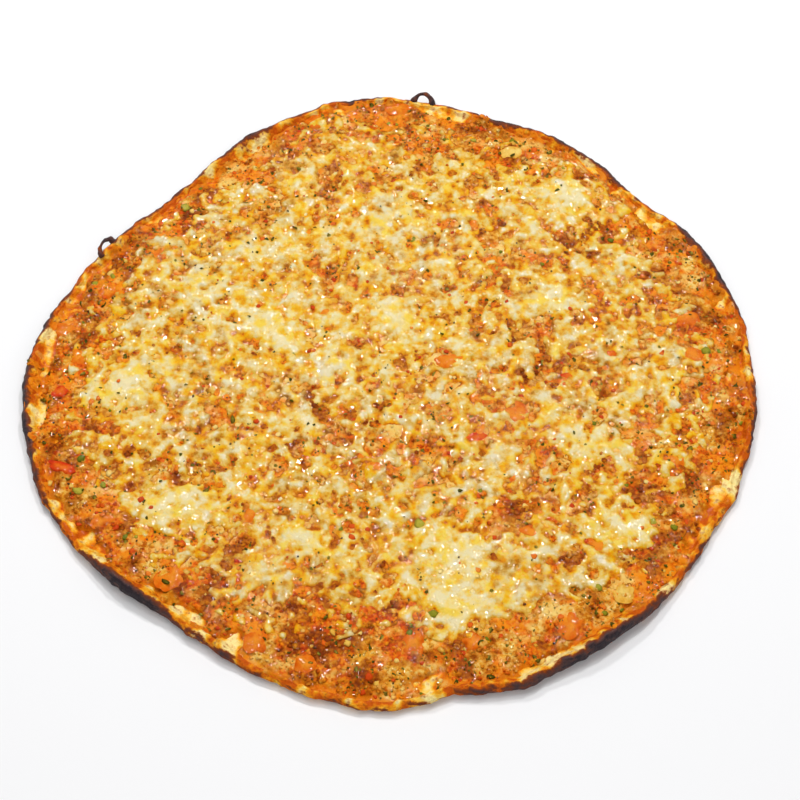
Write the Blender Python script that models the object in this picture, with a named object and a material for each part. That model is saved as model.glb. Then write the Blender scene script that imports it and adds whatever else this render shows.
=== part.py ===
"""Lahmacun: a thin round flatbread with a minced-meat topping, melted cheese and pieces of vegetable.

Metres, +Z up. The origin is on the flat underside, at the middle of the outline's box. The side of the bread that
faces a viewer is -Y. Every height comes from the layers' thicknesses, and every outline from the radius of the dough.
"""

import math

import bmesh
import bpy
import numpy as np
from mathutils import Matrix, Vector

MM = 0.001
GAP = 0.3 * MM  # free height between two layers

# The dough. Its round is pulled out of true by dents, each an angle, a half-width in degrees and a depth.
DOUGH_RADIUS = 150.8 * MM
CENTRE_SHIFT = (0, 1.2 * MM)
EDGE_DENTS = (
    (135, 22, 19.5 * MM),
    (113, 12, 3.0 * MM),
    (162, 15, 6.5 * MM),
    (22, 8, 2.5 * MM),
    (66, 20, 9.0 * MM),
    (39, 10, 8.5 * MM),
    (236, 19, 9.0 * MM),
    (280, 4, 3.5 * MM),
    (328, 13, 2.0 * MM),
)
EDGE_RAGGEDNESS = 0.9 * MM
DOUGH_THICKNESS = 2.8 * MM
RIM_HEIGHT = 4.4 * MM
RIM_WIDTH = 4.8 * MM
# Blisters of the rim, each an angle, a half-width in degrees and a rise.
RIM_BLISTERS = (
    (22, 9, 3.2 * MM),
    (64, 10, 3.4 * MM),
    (119, 10, 4.2 * MM),
    (152, 6, 1.8 * MM),
    (189, 15, 3.0 * MM),
    (226, 9, 4.6 * MM),
    (243, 5, 2.0 * MM),
    (286, 6, 1.8 * MM),
    (304, 11, 4.8 * MM),
    (352, 8, 1.6 * MM),
)
UNDERSIDE_LIFT = 1.1 * MM
FLAT_INSET = 24 * MM  # the underside is flat up to this far from the edge

# The topping lies on the dough as one layer of mince, and carries crumbs and herb flakes.
TOPPING_RINGS = 17
TOPPING_BOTTOM = DOUGH_THICKNESS + GAP
TOPPING_THICKNESS = 1.9 * MM
TOPPING_EDGE_THICKNESS = 1.0 * MM
TOPPING_EDGE_RUN = 7 * MM
TOPPING_LUMP_HEIGHT = 0.55 * MM
CRUMB_COUNT = 36
CRUMB_RADIUS = (2.0 * MM, 3.3 * MM)
CRUMB_FLATNESS = 0.52
FLAKE_COUNT = 18
FLAKE_LENGTH = (3.6 * MM, 5.2 * MM)
SMALL_PIECE_MARGIN = 0.8 * MM
BARE_BELOW = -0.12  # a small piece keeps to where the cheese's cover is below this
PLACING_SEED = 7
PLACING_TRIES = 6000

# The cheese has melted into one sheet with holes.
CHEESE_RADIUS = 121 * MM
CHEESE_EDGE_RUN = 11 * MM
CHEESE_EDGE_THICKNESS = 0.55 * MM
CHEESE_THICKNESS = 1.0 * MM
CHEESE_BLOB_THICKNESS = 1.1 * MM
# Lobes of the sheet's outline: angle, half-width in degrees and reach.
CHEESE_LOBES = (
    (2, 9, 8 * MM),
    (45, 13, 9 * MM),
    (103, 6, 12 * MM),
    (196, 14, 4 * MM),
    (270, 9, -11 * MM),
    (318, 22, 12 * MM),
)
# Places where the cheese is bare, and where it has pooled: x, y, half-length and half-width in mm, turn in degrees.
BARE_PATCHES = (
    (-14, -66, 15, 8, 75),
    (57, -5, 17, 9, 0),
    (52, 50, 12, 9, 20),
    (-35, -17, 15, 8, 5),
    (-8, -33, 13, 8, 160),
    (18, -42, 10, 7, 30),
    (61, 18, 14, 6, 10),
    (80, 64, 10, 8, 0),
    (-24, 50, 9, 8, 0),
    (17, 42, 11, 7, 10),
    (0, 96, 8, 9, 0),
    (-57, 76, 9, 8, 20),
    (47, -71, 16, 8, 5),
    (103, -58, 14, 8, 0),
    (62, -44, 11, 8, 60),
    (-20, -103, 11, 10, 0),
    (-60, -83, 12, 7, 20),
    (-61, -29, 9, 8, 0),
    (92, 31, 11, 7, 0),
    (-97, -42, 8, 7, 0),
    (-64, 10, 8, 6, 0),
    (40, 100, 9, 7, 30),
    (-70, 105, 9, 8, 50),
)
CHEESE_BLOBS = (
    (-80, 42, 9, 12, 10),
    (4, 21, 10, 9, 0),
    (25, -112, 12, 9, 20),
    (29, -86, 15, 10, 0),
    (71, 32, 8, 7, 0),
    (-21, -3, 12, 7, 10),
    (79, 88, 9, 12, 0),
    (2, 74, 13, 10, 0),
    (117, -15, 8, 8, 0),
    (-108, -6, 12, 16, 0),
    (-76, -64, 14, 8, 20),
    (-30, -82, 12, 9, 0),
    (80, -36, 12, 7, 0),
    (93, -76, 11, 8, 0),
    (-52, 20, 14, 8, 160),
)

# Pieces as large as berries: kind, x, y, length and width in mm, turn in degrees.
VEGETABLES = (
    ("tomato", -34, 136, 10, 9, 20),
    ("tomato", 4, 139, 12, 8, 0),
    ("tomato", -119, 36, 10, 8, 40),
    ("tomato", -137, 17, 12, 8, 10),
    ("tomato", -128, 3, 9, 10, 0),
    ("tomato", -111, -74, 10, 6, 20),
    ("tomato", -84, -101, 15, 10, 30),
    ("tomato", -49, -125, 10, 9, 0),
    ("tomato", -30, -134, 9, 8, 0),
    ("tomato", 10, -126, 9, 9, 0),
    ("tomato", 32, -125, 8, 8, 45),
    ("tomato", 69, -119, 13, 9, 60),
    ("tomato", 55, -79, 10, 6, 0),
    ("tomato", 81, -85, 9, 8, 0),
    ("tomato", 124, 24, 15, 9, -30),
    ("tomato", 126, 4, 10, 8, 0),
    ("tomato", 114, -47, 16, 8, 0),
    ("tomato", 52, -25, 13, 12, 30),
    ("tomato", 25, 1, 17, 8, 3),
    ("tomato", -4, -50, 9, 6, -20),
    ("tomato", -27, 26, 11, 6, 10),
    ("tomato", -54, -71, 9, 6, 80),
    ("red_pepper", 35, -36, 14, 5, 12),
    ("red_pepper", 92, 4, 8, 7, 0),
    ("red_pepper", -134, -14, 8, 6, 10),
    ("red_pepper", -134, -52, 12, 5, -20),
    ("red_pepper", 74, -6, 8, 5, 0),
    ("onion", -29, 120, 8, 7, 0),
    ("onion", 55, 114, 14, 8, 0),
    ("onion", -60, -29, 9, 7, 40),
    ("onion", 95, -112, 9, 8, 0),
)
VEGETABLE_SIDES = 8
VEGETABLE_BOTTOM = TOPPING_BOTTOM + 1.1 * MM
VEGETABLE_THICKNESS = {"tomato": 2.7 * MM, "red_pepper": 2.4 * MM, "onion": 2.2 * MM}
SOCKET_GAP = 0.4 * MM
SOCKET_TOP = 12 * MM
RIM_OVERHANG = 1.0 * MM

# Loops of burnt crust that stand up from the edge: angle, span, rise, lean outwards in degrees, thickness.
BURNT_CURLS = (
    (84, 9 * MM, 5.5 * MM, 45, 1.3 * MM),
    (154, 8 * MM, 4.0 * MM, 35, 1.3 * MM),
)
CURL_SIDES = 6
CURL_STEPS = 9

SHARP_ANGLE = math.radians(50)
# sRGB colours, and roughness, of what each node is made of.
FINISHES = {
    "flatbread": ((0.80, 0.50, 0.20), 0.75),
    "mince_topping": ((0.62, 0.30, 0.07), 0.45),
    "melted_cheese": ((0.93, 0.80, 0.45), 0.30),
    "tomato": ((0.90, 0.36, 0.12), 0.30),
    "red_pepper": ((0.80, 0.16, 0.06), 0.30),
    "onion": ((0.80, 0.62, 0.22), 0.35),
}


def clear_scene():
    """Removes what the startup file holds."""
    for thing in list(bpy.data.objects):
        bpy.data.objects.remove(thing)


def lattice(column, row, seed):
    """A repeatable value from -1 to 1 for each whole-numbered place of a lattice."""
    mixed = column.astype(np.int64) * 374761393 + row.astype(np.int64) * 668265263 + seed * 974634777
    mixed = (mixed ^ (mixed >> 13)) & 0x7FFFFFFF
    mixed = (mixed * 1274126177) & 0x7FFFFFFF
    mixed = mixed ^ (mixed >> 16)
    return (mixed & 0xFFFF) / 32767.5 - 1.0


def lumps(x, y, size, seed):
    """Smooth noise from -1 to 1 whose lumps are about `size` across."""
    u = np.asarray(x) / size + 1000.0
    v = np.asarray(y) / size + 1000.0
    column = np.floor(u)
    row = np.floor(v)
    a = u - column
    b = v - row
    a = a * a * (3 - 2 * a)
    b = b * b * (3 - 2 * b)
    near = lattice(column, row, seed) * (1 - a) + lattice(column + 1, row, seed) * a
    far = lattice(column, row + 1, seed) * (1 - a) + lattice(column + 1, row + 1, seed) * a
    return near * (1 - b) + far * b


def bumps_at(angle, table):
    """The sum of the table's bell-shaped bumps at an angle in radians."""
    total = 0.0 * np.asarray(angle)
    for middle, half_width, height in table:
        away = (np.degrees(angle) - middle + 180) % 360 - 180
        total = total + height * np.exp(-((away / half_width) ** 2))
    return total


def patches_at(x, y, table):
    """The sum of the table's oval bell-shaped patches at a point."""
    total = 0.0 * np.asarray(x)
    for middle_x, middle_y, half_length, half_width, turn in table:
        c = math.cos(math.radians(turn))
        s = math.sin(math.radians(turn))
        across = x / MM - middle_x
        up = y / MM - middle_y
        along = (across * c + up * s) / half_length
        aside = (up * c - across * s) / half_width
        total = total + np.exp(-(along**2 + aside**2))
    return total


def edge_radius(angle):
    """The distance from the middle to the bread's edge."""
    round_radius = DOUGH_RADIUS - bumps_at(angle, EDGE_DENTS)
    around_x = DOUGH_RADIUS * np.cos(angle)
    around_y = DOUGH_RADIUS * np.sin(angle)
    return round_radius + EDGE_RAGGEDNESS * lumps(around_x, around_y, 13 * MM, 3)


def rim_crest(angle):
    """The height of the rim's crest."""
    x = DOUGH_RADIUS * np.cos(angle)
    y = DOUGH_RADIUS * np.sin(angle)
    return RIM_HEIGHT + bumps_at(angle, RIM_BLISTERS) + 0.45 * MM * lumps(x, y, 16 * MM, 5)


def rim_width(angle):
    """How far in from the edge the topping starts: further where the rim is blistered."""
    return RIM_WIDTH + 0.9 * bumps_at(angle, RIM_BLISTERS)


def topping_radius(angle):
    """The distance from the middle to the topping's edge."""
    return edge_radius(angle) - rim_width(angle) - 0.8 * MM


def topping_height(x, y):
    """The height of the topping's upper face: it thins at the edge and is lumpy all over."""
    angle = np.arctan2(y, x)
    inset = topping_radius(angle) - np.hypot(x, y)
    run = np.clip(inset / TOPPING_EDGE_RUN, 0, 1)
    thickness = TOPPING_EDGE_THICKNESS + (TOPPING_THICKNESS - TOPPING_EDGE_THICKNESS) * run * (2 - run)
    lumpy = 0.6 * lumps(x, y, 14 * MM, 11) + 0.6 * lumps(x, y, 8 * MM, 12)
    return TOPPING_BOTTOM + thickness + TOPPING_LUMP_HEIGHT * lumpy * run


def cheese_cover(x, y):
    """Above 0 where cheese lies: the sheet's ragged round, less its bare patches, plus its pools."""
    angle = np.arctan2(y, x)
    reach = CHEESE_RADIUS + bumps_at(angle, CHEESE_LOBES) + 5 * MM * lumps(x, y, 22 * MM, 21)
    inside = np.clip((reach - np.hypot(x, y)) / CHEESE_EDGE_RUN, -1.5, 1)
    ragged = 0.34 * lumps(x, y, 17 * MM, 22) + 0.26 * lumps(x, y, 9 * MM, 23)
    return inside + ragged - 2.3 * patches_at(x, y, BARE_PATCHES) + 0.5 * patches_at(x, y, CHEESE_BLOBS)


def cheese_thickness(x, y):
    """The cheese's own thickness: thin at its edges, thick where it has pooled."""
    cover = np.clip(cheese_cover(x, y), 0, 1)
    pooled = np.clip(patches_at(x, y, CHEESE_BLOBS), 0, 1)
    uneven = 0.25 * MM * lumps(x, y, 7 * MM, 31)
    rise = CHEESE_THICKNESS - CHEESE_EDGE_THICKNESS + uneven + CHEESE_BLOB_THICKNESS * pooled
    return CHEESE_EDGE_THICKNESS + cover * rise


def new_object(name, verts, faces, collection=None):
    """A mesh object made of points and faces."""
    mesh = bpy.data.meshes.new(name)
    mesh.from_pydata([tuple(map(float, v)) for v in verts], [], faces)
    mesh.update()
    thing = bpy.data.objects.new(name, mesh)
    (collection or bpy.context.scene.collection).objects.link(thing)
    return thing


def helper_collection(name):
    """A collection for pieces that are joined to, or cut from, another object."""
    made = bpy.data.collections.new(name)
    bpy.context.scene.collection.children.link(made)
    return made


def apply_boolean(thing, operation, collection, solver):
    """Applies one Boolean with a whole collection."""
    modifier = thing.modifiers.new(operation.lower(), "BOOLEAN")
    modifier.operation = operation
    modifier.operand_type = "COLLECTION"
    modifier.collection = collection
    modifier.solver = solver
    graph = bpy.context.evaluated_depsgraph_get()
    made = bpy.data.meshes.new_from_object(thing.evaluated_get(graph))
    thing.modifiers.clear()
    thing.data = made


def remove_collection(collection):
    """Removes a collection and its objects."""
    for thing in list(collection.objects):
        bpy.data.objects.remove(thing)
    bpy.data.collections.remove(collection)


def finish(thing, finish_name):
    """Gives an object its material, and smooth shading except across sharp edges."""
    colour, roughness = FINISHES[finish_name]
    material = bpy.data.materials.get(finish_name)
    if material is None:
        material = bpy.data.materials.new(finish_name)
        material.use_nodes = True
        shader = material.node_tree.nodes["Principled BSDF"]
        linear = [((c + 0.055) / 1.055) ** 2.4 for c in colour]
        shader.inputs["Base Color"].default_value = (*linear, 1)
        shader.inputs["Roughness"].default_value = roughness
        shader.inputs["Metallic"].default_value = 0
    thing.data.materials.clear()
    thing.data.materials.append(material)
    thing.data.shade_smooth()
    thing.data.set_sharp_from_angle(angle=SHARP_ANGLE)


def stitched_rings(rings, sides):
    """Faces that join closed rings of points, the first ring capped below and the last one above."""
    faces = [tuple(reversed(range(sides)))]
    for k in range(rings - 1):
        for i in range(sides):
            j = (i + 1) % sides
            faces.append((k * sides + i, k * sides + j, (k + 1) * sides + j, (k + 1) * sides + i))
    faces.append(tuple((rings - 1) * sides + i for i in range(sides)))
    return faces


def make_flatbread():
    """The dough: a flat disc with a raised, blistered rim whose underside lifts a little."""
    sides = 6 * TOPPING_RINGS
    angle = np.arange(sides) * 2 * np.pi / sides
    radius = edge_radius(angle)
    crest = rim_crest(angle)
    width = rim_width(angle)
    lift = UNDERSIDE_LIFT * (1 + 0.6 * lumps(radius * np.cos(angle), radius * np.sin(angle), 40 * MM, 8))
    wall = crest - lift
    shoulder = DOUGH_THICKNESS + 0.5 * (crest - DOUGH_THICKNESS)
    profile = (
        (FLAT_INSET, 0 * angle),
        (9 * MM, 0.45 * lift),
        (2.6 * MM, lift),
        (0.7 * MM, lift + 0.22 * wall),
        (0 * MM, lift + 0.50 * wall),
        (0.9 * MM, lift + 0.84 * wall),
        (2.6 * MM, crest),
        (0.66 * width, shoulder),
        (width, DOUGH_THICKNESS + 0 * angle),
    )
    points = []
    for inset, height in profile:
        out = radius - inset
        points.append(np.stack([out * np.cos(angle), out * np.sin(angle), height], axis=1))
    bread = new_object("flatbread", np.concatenate(points), stitched_rings(len(profile), sides))
    curls = helper_collection("curls")
    for n, curl in enumerate(BURNT_CURLS):
        make_burnt_curl(f"curl_{n}", curls, *curl)
    apply_boolean(bread, "UNION", curls, "EXACT")
    remove_collection(curls)
    finish(bread, "flatbread")


def make_burnt_curl(name, collection, angle_deg, span, rise, lean_deg, thickness):
    """A thin arch of crust: a round section carried along half an oval that leans outwards."""
    angle = math.radians(angle_deg)
    outwards = Vector((math.cos(angle), math.sin(angle), 0))
    along = Vector((-outwards.y, outwards.x, 0))
    lean = math.radians(lean_deg)
    up = outwards * math.sin(lean) + Vector((0, 0, math.cos(lean)))
    foot = outwards * (float(edge_radius(np.array(angle))) - 1.6 * MM)
    foot.z = float(rim_crest(np.array(angle))) - 1.1 * MM
    side = along.cross(up)
    verts = []
    for k in range(CURL_STEPS):
        turn = math.pi * k / (CURL_STEPS - 1)
        middle = foot - along * (span / 2 * math.cos(turn)) + up * (rise * math.sin(turn))
        forward = (along * (span / 2 * math.sin(turn)) + up * (rise * math.cos(turn))).normalized()
        normal = side.cross(forward)
        for i in range(CURL_SIDES):
            round_turn = 2 * math.pi * i / CURL_SIDES
            offset = side * math.cos(round_turn) + normal * math.sin(round_turn)
            verts.append(middle + offset * (thickness / 2))
    thing = new_object(name, verts, stitched_rings(CURL_STEPS, CURL_SIDES), collection)
    face_outwards(thing)


def face_outwards(thing):
    """Makes a closed mesh's faces point outwards."""
    shape = bmesh.new()
    shape.from_mesh(thing.data)
    bmesh.ops.recalc_face_normals(shape, faces=shape.faces)
    shape.to_mesh(thing.data)
    shape.free()


def disc_grid():
    """Points and triangles that fill the topping's outline: ring k has 6k points, so all triangles are alike."""
    points = [(0.0, 0.0)]
    first = [0]
    for ring in range(1, TOPPING_RINGS + 1):
        first.append(len(points))
        angle = np.arange(6 * ring) * 2 * np.pi / (6 * ring)
        out = topping_radius(angle) * ring / TOPPING_RINGS
        points.extend(zip(out * np.cos(angle), out * np.sin(angle)))
    triangles = []
    for ring in range(1, TOPPING_RINGS + 1):
        outer = 6 * ring
        inner = max(6 * (ring - 1), 1)
        for sector in range(6):
            for step in range(ring):
                a = first[ring] + (sector * ring + step) % outer
                b = first[ring] + (sector * ring + step + 1) % outer
                c = first[ring - 1] + (sector * (ring - 1) + step) % inner
                triangles.append((a, b, c))
                if step < ring - 1:
                    d = first[ring - 1] + (sector * (ring - 1) + step + 1) % inner
                    triangles.append((b, d, c))
    return np.array(points), triangles


def layer_solid(name, top, bottom, triangles):
    """A closed solid between two faces that share their triangles, with walls along the open edges."""
    count = len(top)
    faces = [tuple(t) for t in triangles]
    faces += [(a + count, c + count, b + count) for a, b, c in triangles]
    directed = {(t[k], t[(k + 1) % 3]) for t in triangles for k in range(3)}
    for a, b in sorted(directed):
        if (b, a) not in directed:
            faces.append((b, a, a + count, b + count))
    return new_object(name, np.concatenate([top, bottom]), faces)


def make_topping(points, triangles, sockets):
    """The mince: a lumpy upper face over a flat lower one, cut for the vegetables, with crumbs and flakes fused on."""
    x, y = points.T
    top = np.stack([x, y, topping_height(x, y)], axis=1)
    outer = 6 * TOPPING_RINGS
    ring = range(len(points) - outer, len(points))
    floor = np.stack([x[ring], y[ring], np.full(outer, TOPPING_BOTTOM)], axis=1)
    count = len(points)
    faces = [tuple(t) for t in triangles]
    faces.append(tuple(reversed(range(count, count + outer))))
    for i in range(outer):
        j = (i + 1) % outer
        faces.append((ring[j], ring[i], count + i, count + j))
    topping = new_object("mince_topping", np.concatenate([top, floor]), faces)
    apply_boolean(topping, "DIFFERENCE", sockets, "EXACT")
    small = helper_collection("small_pieces")
    scatter_small_pieces(small)
    apply_boolean(topping, "UNION", small, "MANIFOLD")
    remove_collection(small)
    finish(topping, "mince_topping")


def bare_and_free(x, y, radius):
    """Whether a small piece of this radius lies on bare topping, clear of the cheese, the rim and the vegetables."""
    turn = np.arange(12) * np.pi / 6
    ring_x = x + (radius + SMALL_PIECE_MARGIN) * np.cos(turn)
    ring_y = y + (radius + SMALL_PIECE_MARGIN) * np.sin(turn)
    ring_x = np.append(ring_x, x)
    ring_y = np.append(ring_y, y)
    if (cheese_cover(ring_x, ring_y) > BARE_BELOW).any():
        return False
    if (np.hypot(ring_x, ring_y) > topping_radius(np.arctan2(ring_y, ring_x))).any():
        return False
    for kind, middle_x, middle_y, length, width, turn_deg in placed_vegetables():
        reach = 0.5 * math.hypot(length, width) + SOCKET_GAP + SMALL_PIECE_MARGIN
        if math.hypot(x - middle_x, y - middle_y) < reach + radius:
            return False
    return True


def scatter_small_pieces(collection):
    """Crumbs of mince and flakes of parsley on the bare topping, apart from each other."""
    draw = np.random.default_rng(PLACING_SEED)
    taken = []
    for kind, count, sizes in (("crumb", CRUMB_COUNT, CRUMB_RADIUS), ("flake", FLAKE_COUNT, FLAKE_LENGTH)):
        placed = 0
        for _ in range(PLACING_TRIES):
            angle = draw.uniform(0, 2 * np.pi)
            out = DOUGH_RADIUS * math.sqrt(draw.uniform(0, 1))
            size = draw.uniform(*sizes)
            turn = draw.uniform(0, 2 * np.pi)
            x = out * math.cos(angle)
            y = out * math.sin(angle)
            reach = size if kind == "crumb" else 0.5 * size
            if not bare_and_free(x, y, reach):
                continue
            if any(math.hypot(x - a, y - b) < reach + r + 0.3 * MM for a, b, r in taken):
                continue
            taken.append((x, y, reach))
            height = float(topping_height(np.array(x), np.array(y)))
            make = make_crumb if kind == "crumb" else make_flake
            make(f"{kind}_{placed}", collection, Vector((x, y, height)), size, turn)
            placed += 1
            if placed == count:
                break


def make_crumb(name, collection, place, radius, turn):
    """A crumb of mince: a twenty-sided lump, longer than wide, half sunk in the topping."""
    shape = bmesh.new()
    bmesh.ops.create_icosphere(shape, subdivisions=1, radius=1)
    squash = Matrix.Diagonal((radius, 0.78 * radius, CRUMB_FLATNESS * radius, 1))
    tilt = Matrix.Rotation(0.2 * math.sin(5 * turn), 4, "X")
    place.z = max(place.z, TOPPING_BOTTOM + (CRUMB_FLATNESS + 0.15) * radius)
    shape.transform(Matrix.Translation(place) @ Matrix.Rotation(turn, 4, "Z") @ tilt @ squash)
    mesh = bpy.data.meshes.new(name)
    shape.to_mesh(mesh)
    shape.free()
    collection.objects.link(bpy.data.objects.new(name, mesh))


def make_flake(name, collection, place, length, turn):
    """A flake of parsley: a thin pointed leaf, bent up at its middle, that lies on the topping."""
    outline = ((1, 0), (0.35, 0.62), (-0.45, 0.55), (-1, 0), (-0.45, -0.55), (0.35, -0.62))
    sides = len(outline)
    verts = []
    for height in (-0.7 * MM, 0.45 * MM):
        for u, v in outline:
            sag = 0.35 * MM * (1 - u * u) - 0.25 * MM
            verts.append((u * length / 2, v * length / 2, height + sag))
    thing = new_object(name, verts, stitched_rings(2, sides), collection)
    thing.data.transform(Matrix.Translation(place) @ Matrix.Rotation(turn, 4, "Z"))


def clipped(points, triangles, value):
    """The part of a triangle mesh where value is above 0, with new points where its edges cross 0."""
    made = [tuple(p) for p in points]
    crossing = {}

    def cross(a, b):
        key = (min(a, b), max(a, b))
        if key not in crossing:
            low, high = key
            share = value[low] / (value[low] - value[high])
            share = min(max(share, 0.18), 0.82)
            crossing[key] = len(made)
            made.append(tuple(points[low] * (1 - share) + points[high] * share))
        return crossing[key]

    kept = []
    for triangle in triangles:
        outline = []
        for k in range(3):
            a = triangle[k]
            b = triangle[(k + 1) % 3]
            if value[a] > 0:
                outline.append(a)
            if (value[a] > 0) != (value[b] > 0):
                outline.append(cross(a, b))
        for k in range(1, len(outline) - 1):
            kept.append((outline[0], outline[k], outline[k + 1]))
    return np.array(made), kept


def largest_piece(faces):
    """The faces of the largest connected piece: loose scraps are dropped."""
    at_point = {}
    for n, face in enumerate(faces):
        for corner in face:
            at_point.setdefault(corner, []).append(n)
    left = set(range(len(faces)))
    best = []
    while left:
        front = [left.pop()]
        piece = list(front)
        while front:
            for corner in faces[front.pop()]:
                for near in at_point[corner]:
                    if near in left:
                        left.remove(near)
                        front.append(near)
                        piece.append(near)
        if len(piece) > len(best):
            best = piece
    return [faces[n] for n in sorted(best)]


def make_cheese(points, triangles, sockets):
    """The melted cheese: one sheet with holes, whose underside follows the topping at a small gap."""
    x, y = points.T
    ground = np.stack([x, y, topping_height(x, y)], axis=1)
    made, kept = clipped(ground, triangles, cheese_cover(x, y))
    kept = largest_piece(kept)
    used = sorted({corner for triangle in kept for corner in triangle})
    renumber = {old: new for new, old in enumerate(used)}
    kept = [tuple(renumber[c] for c in t) for t in kept]
    bottom = made[used] + (0, 0, GAP)
    top = bottom.copy()
    top[:, 2] += cheese_thickness(top[:, 0], top[:, 1])
    cheese = layer_solid("melted_cheese", top, bottom, kept)
    apply_boolean(cheese, "DIFFERENCE", sockets, "EXACT")
    drop_scraps(cheese)
    finish(cheese, "melted_cheese")


def drop_scraps(thing):
    """Keeps only the largest body of a mesh."""
    faces = largest_piece([tuple(face.vertices) for face in thing.data.polygons])
    used = sorted({corner for face in faces for corner in face})
    renumber = {old: new for new, old in enumerate(used)}
    verts = [tuple(thing.data.vertices[n].co) for n in used]
    mesh = bpy.data.meshes.new(thing.name)
    mesh.from_pydata(verts, [], [tuple(renumber[c] for c in face) for face in faces])
    mesh.update()
    thing.data = mesh


def placed_vegetables():
    """The vegetables in metres, those near the rim moved in until they reach no further than over its foot."""
    placed = []
    for number, (kind, x, y, length, width, turn) in enumerate(VEGETABLES):
        across, up = vegetable_outline(number, length * MM, width * MM, turn, SOCKET_GAP)
        corner_x = x * MM + across
        corner_y = y * MM + up
        past = np.hypot(corner_x, corner_y) - topping_radius(np.arctan2(corner_y, corner_x)) - RIM_OVERHANG
        share = 1 - max(float(past.max()), 0) / (math.hypot(x, y) * MM)
        placed.append((kind, x * MM * share, y * MM * share, length * MM, width * MM, turn))
    return placed


def vegetable_outline(number, length, width, turn_deg, grow=0.0):
    """Corners of a cut piece seen from above: a rounded box whose corners are knocked in unevenly."""
    draw = np.random.default_rng(100 + number)
    corner_angle = (np.arange(VEGETABLE_SIDES) + 0.5) * 2 * np.pi / VEGETABLE_SIDES
    c = np.cos(corner_angle)
    s = np.sin(corner_angle)
    squareness = (np.abs(c) ** 3 + np.abs(s) ** 3) ** (-1 / 3)
    uneven = 1 - 0.16 * draw.uniform(0, 1, VEGETABLE_SIDES)
    x = (length / 2 * squareness * uneven + grow) * c
    y = (width / 2 * squareness * uneven + grow) * s
    turn = math.radians(turn_deg)
    return x * math.cos(turn) - y * math.sin(turn), x * math.sin(turn) + y * math.cos(turn)


def make_vegetable(number, name, kind, x, y, length, width, turn_deg):
    """A cut piece: flat below, widest at mid-height, with a low rounded top."""
    across, up = vegetable_outline(number, length, width, turn_deg)
    thickness = VEGETABLE_THICKNESS[kind]
    verts = []
    for share, height in ((0.88, 0), (1.0, 0.55), (0.62, 1.0)):
        for u, v in zip(across, up):
            verts.append((x + share * u, y + share * v, VEGETABLE_BOTTOM + height * thickness))
    piece = new_object(name, verts, stitched_rings(3, VEGETABLE_SIDES))
    finish(piece, kind)


def make_socket(number, collection, kind, x, y, length, width, turn_deg):
    """The room that a piece needs in the topping and the cheese: its outline grown by the gap."""
    across, up = vegetable_outline(number, length, width, turn_deg, SOCKET_GAP)
    verts = []
    for height in (VEGETABLE_BOTTOM - SOCKET_GAP, SOCKET_TOP):
        verts += [(x + u, y + v, height) for u, v in zip(across, up)]
    cutter = new_object(f"socket_{number}", verts, stitched_rings(2, VEGETABLE_SIDES), collection)
    cutter.hide_render = True
    cutter.display_type = "WIRE"


def make_vegetables():
    """Every vegetable as its own node, with a collection of the sockets they need."""
    sockets = helper_collection("sockets")
    made = {}
    for number, (kind, *place) in enumerate(placed_vegetables()):
        made[kind] = made.get(kind, 0) + 1
        make_vegetable(number, f"{kind}_{made[kind]:02d}", kind, *place)
        make_socket(number, sockets, kind, *place)
    return sockets


def centre_all():
    """Moves every object so that the origin is at the middle of the outline's box."""
    shift = Matrix.Translation((*CENTRE_SHIFT, 0))
    for thing in bpy.context.scene.collection.objects:
        thing.data.transform(shift)


def main():
    clear_scene()
    make_flatbread()
    sockets = make_vegetables()
    points, triangles = disc_grid()
    make_topping(points, triangles, sockets)
    make_cheese(points, triangles, sockets)
    remove_collection(sockets)
    centre_all()


main()
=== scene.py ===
"""Looks for the lahmacun: baked dough, cooked mince, melted cheese, vegetables, herbs and crumbs.

Sizes are in millimetres and angles in degrees until a mesh is made. Every layer is a height over the plane,
on the same outlines and patches as the solids that it stands for.
"""

import functools
import math
import bpy
import numpy as np
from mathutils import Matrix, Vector


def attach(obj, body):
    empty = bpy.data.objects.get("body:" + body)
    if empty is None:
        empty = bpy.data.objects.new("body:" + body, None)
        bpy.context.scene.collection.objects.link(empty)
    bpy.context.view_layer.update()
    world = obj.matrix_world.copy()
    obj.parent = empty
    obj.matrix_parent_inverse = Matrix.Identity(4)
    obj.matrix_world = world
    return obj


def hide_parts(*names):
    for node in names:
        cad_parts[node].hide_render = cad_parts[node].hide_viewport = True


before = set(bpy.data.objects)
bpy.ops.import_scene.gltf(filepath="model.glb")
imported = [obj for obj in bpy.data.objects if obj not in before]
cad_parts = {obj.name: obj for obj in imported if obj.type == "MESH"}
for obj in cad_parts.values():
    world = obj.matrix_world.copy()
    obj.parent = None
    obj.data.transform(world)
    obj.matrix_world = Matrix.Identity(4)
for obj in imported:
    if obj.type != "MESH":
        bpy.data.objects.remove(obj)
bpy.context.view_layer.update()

MM = 0.001
SHIFT_Y = 1.2  # the solids' middle lies this far from where their outline is measured
GAP = 0.3  # between dough, mince and cheese
PER_MM = 1000.0  # a noise Scale of PER_MM / 2 has cells of 2 mm
OIL_ROUGHNESS = 0.06

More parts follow.
